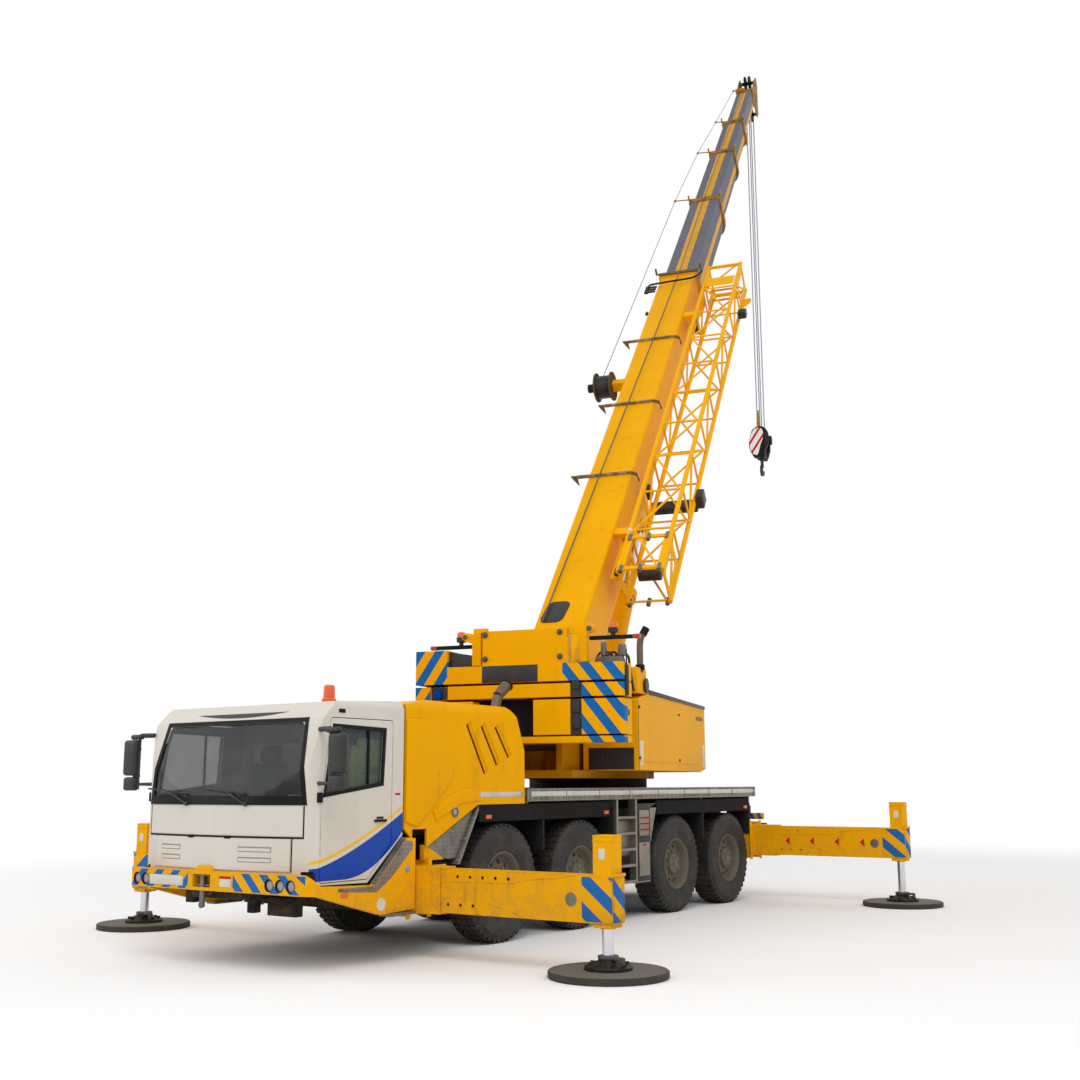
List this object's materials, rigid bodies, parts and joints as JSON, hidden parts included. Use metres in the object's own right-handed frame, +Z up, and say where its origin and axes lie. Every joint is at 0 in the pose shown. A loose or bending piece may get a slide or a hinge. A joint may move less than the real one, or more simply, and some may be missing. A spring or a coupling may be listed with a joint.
{
  "type": "mobile crane",
  "caption": "All-terrain mobile crane on its outriggers, with a raised telescopic boom, a stowed lattice jib at its side and a hook block hanging from the head.",
  "frame": {"origin": "on the ground, at the middle of the rectangle that the crane takes up", "axes": "+Z up; the carrier faces -Y and its left side is +X; the boom points over the rear, 14.6 degrees to the right of it"},
  "size_m": [8.3873, 22.5609, 21.9669],
  "materials": {
    "crane_yellow": "gloss paint",
    "cab_white": "gloss paint",
    "frame_black": "satin paint",
    "boom_grey": "satin paint",
    "dull_metal": "dull, chequered",
    "wheel": "rubber on a grey rim",
    "steel": "oiled steel",
    "chrome": "polished rod",
    "moulded_black": "moulded",
    "mat_black": "worn composite",
    "rope": "wire rope",
    "engine": "plain"
  },
  "bodies": {
    "carrier": {"chassis_frame": "frame_black", "deck": "dull_metal", "wheel_fenders": "frame_black", "deck_ladders": "dull_metal", "front_bumper": "crane_yellow", "carrier_cab": "cab_white", "cab_interior": "moulded_black", "cab_mirrors": "moulded_black", "engine_hood": "crane_yellow", "engine_block": "engine", "axles": "frame_black", "ground_mats": "mat_black"},
    "cab_door_left": {"cab_door_left": "cab_white"},
    "cab_door_right": {"cab_door_right": "cab_white"},
    "knuckle_1_left": {"knuckle_1_left": "frame_black"},
    "wheel_1_left": {"wheel_1_left": "wheel"},
    "knuckle_1_right": {"knuckle_1_right": "frame_black"},
    "wheel_1_right": {"wheel_1_right": "wheel"},
    "knuckle_2_left": {"knuckle_2_left": "frame_black"},
    "wheel_2_left": {"wheel_2_left": "wheel"},
    "knuckle_2_right": {"knuckle_2_right": "frame_black"},
    "wheel_2_right": {"wheel_2_right": "wheel"},
    "knuckle_3_left": {"knuckle_3_left": "frame_black"},
    "wheel_3_left": {"wheel_3_left": "wheel"},
    "knuckle_3_right": {"knuckle_3_right": "frame_black"},
    "wheel_3_right": {"wheel_3_right": "wheel"},
    "knuckle_4_left": {"knuckle_4_left": "frame_black"},
    "wheel_4_left": {"wheel_4_left": "wheel"},
    "knuckle_4_right": {"knuckle_4_right": "frame_black"},
    "wheel_4_right": {"wheel_4_right": "wheel"},
    "outrigger_sleeve_front_left": {"outrigger_sleeve_front_left": "crane_yellow"},
    "outrigger_beam_front_left": {"outrigger_beam_front_left": "crane_yellow"},
    "jack_front_left": {"jack_front_left": "chrome"},
    "outrigger_sleeve_front_right": {"outrigger_sleeve_front_right": "crane_yellow"},
    "outrigger_beam_front_right": {"outrigger_beam_front_right": "crane_yellow"},
    "jack_front_right": {"jack_front_right": "chrome"},
    "outrigger_sleeve_rear_left": {"outrigger_sleeve_rear_left": "crane_yellow"},
    "outrigger_beam_rear_left": {"outrigger_beam_rear_left": "crane_yellow"},
    "jack_rear_left": {"jack_rear_left": "chrome"},
    "outrigger_sleeve_rear_right": {"outrigger_sleeve_rear_right": "crane_yellow"},
    "outrigger_beam_rear_right": {"outrigger_beam_rear_right": "crane_yellow"},
    "jack_rear_right": {"jack_rear_right": "chrome"},
    "superstructure": {"turntable": "crane_yellow", "counterweight": "crane_yellow", "engine_housing": "crane_yellow", "hoist_winch": "steel"},
    "operator_cab": {"operator_cab": "crane_yellow"},
    "operator_door": {"operator_door": "crane_yellow"},
    "boom_base": {"boom_base": "crane_yellow", "swingaway_jib": "crane_yellow", "cable_reel": "moulded_black"},
    "luff_barrel": {"luff_barrel": "crane_yellow"},
    "luff_rod": {"luff_rod": "chrome"},
    "boom_section_1": {"boom_section_1": "boom_grey"},
    "boom_section_2": {"boom_section_2": "boom_grey"},
    "boom_section_3": {"boom_section_3": "boom_grey"},
    "boom_section_4": {"boom_section_4": "boom_grey"},
    "falls": {"hoist_falls": "rope"},
    "hook_block": {"hook_block": "crane_yellow"},
    "hook": {"hook": "steel"}
  },
  "joints": [
    {"name": "cab_door_left_hinge", "type": "hinge", "parent": "carrier", "child": "cab_door_left", "pos_m": [1.25, -10.95607, 1.8], "axis": [0, 0, -1], "range_deg": [0, 70]},
    {"name": "cab_door_right_hinge", "type": "hinge", "parent": "carrier", "child": "cab_door_right", "pos_m": [-1.25, -10.95607, 1.8], "axis": [0, 0, 1], "range_deg": [0, 70]},
    {"name": "steer_1_left", "type": "hinge", "parent": "carrier", "child": "knuckle_1_left", "pos_m": [0.775, -7.96707, 0.67], "axis": [0, 0, 1], "range_deg": [-30, 30]},
    {"name": "wheel_1_left_spin", "type": "hinge", "parent": "knuckle_1_left", "child": "wheel_1_left", "pos_m": [1.057, -7.96707, 0.67], "axis": [1, 0, 0], "continuous": true},
    {"name": "steer_1_right", "type": "hinge", "parent": "carrier", "child": "knuckle_1_right", "pos_m": [-0.775, -7.96707, 0.67], "axis": [0, 0, 1], "range_deg": [-30.5, 30.5]},
    {"name": "wheel_1_right_spin", "type": "hinge", "parent": "knuckle_1_right", "child": "wheel_1_right", "pos_m": [-1.057, -7.96707, 0.67], "axis": [-1, 0, 0], "continuous": true},
    {"name": "steer_2_left", "type": "hinge", "parent": "carrier", "child": "knuckle_2_left", "pos_m": [0.775, -6.31707, 0.67], "axis": [0, 0, 1], "range_deg": [-23, 23]},
    {"name": "wheel_2_left_spin", "type": "hinge", "parent": "knuckle_2_left", "child": "wheel_2_left", "pos_m": [1.057, -6.31707, 0.67], "axis": [1, 0, 0], "continuous": true},
    {"name": "steer_2_right", "type": "hinge", "parent": "carrier", "child": "knuckle_2_right", "pos_m": [-0.775, -6.31707, 0.67], "axis": [0, 0, 1], "range_deg": [-23, 23]},
    {"name": "wheel_2_right_spin", "type": "hinge", "parent": "knuckle_2_right", "child": "wheel_2_right", "pos_m": [-1.057, -6.31707, 0.67], "axis": [-1, 0, 0], "continuous": true},
    {"name": "steer_3_left", "type": "hinge", "parent": "carrier", "child": "knuckle_3_left", "pos_m": [0.775, -3.82207, 0.67], "axis": [0, 0, 1], "range_deg": [-12.5, 12.5]},
    {"name": "wheel_3_left_spin", "type": "hinge", "parent": "knuckle_3_left", "child": "wheel_3_left", "pos_m": [1.057, -3.82207, 0.67], "axis": [1, 0, 0], "continuous": true},
    {"name": "steer_3_right", "type": "hinge", "parent": "carrier", "child": "knuckle_3_right", "pos_m": [-0.775, -3.82207, 0.67], "axis": [0, 0, 1], "range_deg": [-12.5, 12.5]},
    {"name": "wheel_3_right_spin", "type": "hinge", "parent": "knuckle_3_right", "child": "wheel_3_right", "pos_m": [-1.057, -3.82207, 0.67], "axis": [-1, 0, 0], "continuous": true},
    {"name": "steer_4_left", "type": "hinge", "parent": "carrier", "child": "knuckle_4_left", "pos_m": [0.775, -2.17207, 0.67], "axis": [0, 0, 1], "range_deg": [-20, 20]},
    {"name": "wheel_4_left_spin", "type": "hinge", "parent": "knuckle_4_left", "child": "wheel_4_left", "pos_m": [1.057, -2.17207, 0.67], "axis": [1, 0, 0], "continuous": true},
    {"name": "steer_4_right", "type": "hinge", "parent": "carrier", "child": "knuckle_4_right", "pos_m": [-0.775, -2.17207, 0.67], "axis": [0, 0, 1], "range_deg": [-20.5, 20.5]},
    {"name": "wheel_4_right_spin", "type": "hinge", "parent": "knuckle_4_right", "child": "wheel_4_right", "pos_m": [-1.057, -2.17207, 0.67], "axis": [-1, 0, 0], "continuous": true},
    {"name": "outrigger_beam_front_left_slide", "type": "slide", "parent": "outrigger_sleeve_front_left", "child": "outrigger_beam_front_left", "axis": [1, 0, 0], "range_m": [-1.82, 0]},
    {"name": "outrigger_sleeve_front_left_slide", "type": "slide", "parent": "carrier", "child": "outrigger_sleeve_front_left", "axis": [1, 0, 0], "range_m": [-0.612, 0.002]},
    {"name": "jack_front_left_slide", "type": "slide", "parent": "outrigger_beam_front_left", "child": "jack_front_left", "axis": [0, 0, -1], "range_m": [-0.23, 0]},
    {"name": "outrigger_beam_front_right_slide", "type": "slide", "parent": "outrigger_sleeve_front_right", "child": "outrigger_beam_front_right", "axis": [-1, 0, 0], "range_m": [-1.82, 0]},
    {"name": "outrigger_sleeve_front_right_slide", "type": "slide", "parent": "carrier", "child": "outrigger_sleeve_front_right", "axis": [-1, 0, 0], "range_m": [-0.612, 0.002]},
    {"name": "jack_front_right_slide", "type": "slide", "parent": "outrigger_beam_front_right", "child": "jack_front_right", "axis": [0, 0, -1], "range_m": [-0.23, 0]},
    {"name": "outrigger_beam_rear_left_slide", "type": "slide", "parent": "outrigger_sleeve_rear_left", "child": "outrigger_beam_rear_left", "axis": [1, 0, 0], "range_m": [-1.82, 0]},
    {"name": "outrigger_sleeve_rear_left_slide", "type": "slide", "parent": "carrier", "child": "outrigger_sleeve_rear_left", "axis": [1, 0, 0], "range_m": [-0.612, 0.002]},
    {"name": "jack_rear_left_slide", "type": "slide", "parent": "outrigger_beam_rear_left", "child": "jack_rear_left", "axis": [0, 0, -1], "range_m": [-0.23, 0]},
    {"name": "outrigger_beam_rear_right_slide", "type": "slide", "parent": "outrigger_sleeve_rear_right", "child": "outrigger_beam_rear_right", "axis": [-1, 0, 0], "range_m": [-1.82, 0]},
    {"name": "outrigger_sleeve_rear_right_slide", "type": "slide", "parent": "carrier", "child": "outrigger_sleeve_rear_right", "axis": [-1, 0, 0], "range_m": [-0.612, 0.002]},
    {"name": "jack_rear_right_slide", "type": "slide", "parent": "outrigger_beam_rear_right", "child": "jack_rear_right", "axis": [0, 0, -1], "range_m": [-0.23, 0]},
    {"name": "slew", "type": "hinge", "parent": "carrier", "child": "superstructure", "pos_m": [0, -4.22307, 1.86], "axis": [0, 0, 1], "continuous": true},
    {"name": "operator_cab_tilt", "type": "hinge", "parent": "superstructure", "child": "operator_cab", "pos_m": [-0.94478, -4.464, 1.96], "axis": [0.9677, 0.2521, 0], "range_deg": [0, 20]},
    {"name": "operator_door_slide", "type": "slide", "parent": "operator_cab", "child": "operator_door", "axis": [0.2521, -0.9677, 0], "range_m": [0, 0.65]},
    {"name": "luff", "type": "hinge", "parent": "superstructure", "child": "boom_base", "pos_m": [0.29744, -5.36497, 3.25], "axis": [0.9677, 0.2521, 0], "range_deg": [-47.2, 34.8]},
    {"name": "luff_barrel_hinge", "type": "hinge", "parent": "superstructure", "child": "luff_barrel", "pos_m": [-0.02521, -4.1263, 2.2], "axis": [0.9677, 0.2521, 0], "range_deg": [-48.64, 36]},
    {"name": "luff_rod_slide", "type": "slide", "parent": "luff_barrel", "child": "luff_rod", "axis": [-0.1466, 0.5628, 0.8135], "range_m": [-1.2457, 0.9211]},
    {"name": "telescope_1", "type": "slide", "parent": "boom_base", "child": "boom_section_1", "axis": [-0.1713, 0.6575, 0.7337], "range_m": [-3.88, 4.92]},
    {"name": "telescope_2", "type": "slide", "parent": "boom_section_1", "child": "boom_section_2", "axis": [-0.1713, 0.6575, 0.7337], "range_m": [-2.98, 5.82]},
    {"name": "telescope_3", "type": "slide", "parent": "boom_section_2", "child": "boom_section_3", "axis": [-0.1713, 0.6575, 0.7337], "range_m": [-2.12, 6.68]},
    {"name": "telescope_4", "type": "slide", "parent": "boom_section_3", "child": "boom_section_4", "axis": [-0.1713, 0.6575, 0.7337], "range_m": [-2.53, 6.27]},
    {"name": "falls_hang", "type": "hinge", "parent": "boom_section_4", "child": "falls", "pos_m": [-3.9714, 11.02336, 20.89074], "axis": [0.9677, 0.2521, 0], "range_deg": [-35.3, 47.7]},
    {"name": "hook_hoist", "type": "slide", "parent": "falls", "child": "hook_block", "axis": [0, 0, -1], "range_m": [-8.541, 9.85], "deforming": ["hoist_falls"]},
    {"name": "hook_swivel", "type": "hinge", "parent": "hook_block", "child": "hook", "pos_m": [-3.9714, 11.02336, 10.55], "axis": [0, 0, 1], "continuous": true}
  ],
  "couplings": [
    {"joint": "steer_1_right", "follows": "steer_1_left", "ratio": 1},
    {"joint": "steer_2_left", "follows": "steer_1_left", "ratio": 0.75},
    {"joint": "steer_2_right", "follows": "steer_1_left", "ratio": 0.75},
    {"joint": "steer_3_left", "follows": "steer_4_left", "ratio": 0.6},
    {"joint": "steer_3_right", "follows": "steer_4_left", "ratio": 0.6},
    {"joint": "steer_4_right", "follows": "steer_4_left", "ratio": 1},
    {"joint": "outrigger_sleeve_front_left_slide", "follows": "outrigger_beam_front_left_slide", "ratio": 0.33516},
    {"joint": "outrigger_sleeve_front_right_slide", "follows": "outrigger_beam_front_right_slide", "ratio": 0.33516},
    {"joint": "outrigger_sleeve_rear_left_slide", "follows": "outrigger_beam_rear_left_slide", "ratio": 0.33516},
    {"joint": "outrigger_sleeve_rear_right_slide", "follows": "outrigger_beam_rear_right_slide", "ratio": 0.33516},
    {"joint": "luff_barrel_hinge", "follows": "luff", "ratio": 1.02},
    {"joint": "luff_rod_slide", "follows": "luff", "m_per_rad": 1.5},
    {"joint": "falls_hang", "follows": "luff", "ratio": -1}
  ]
}
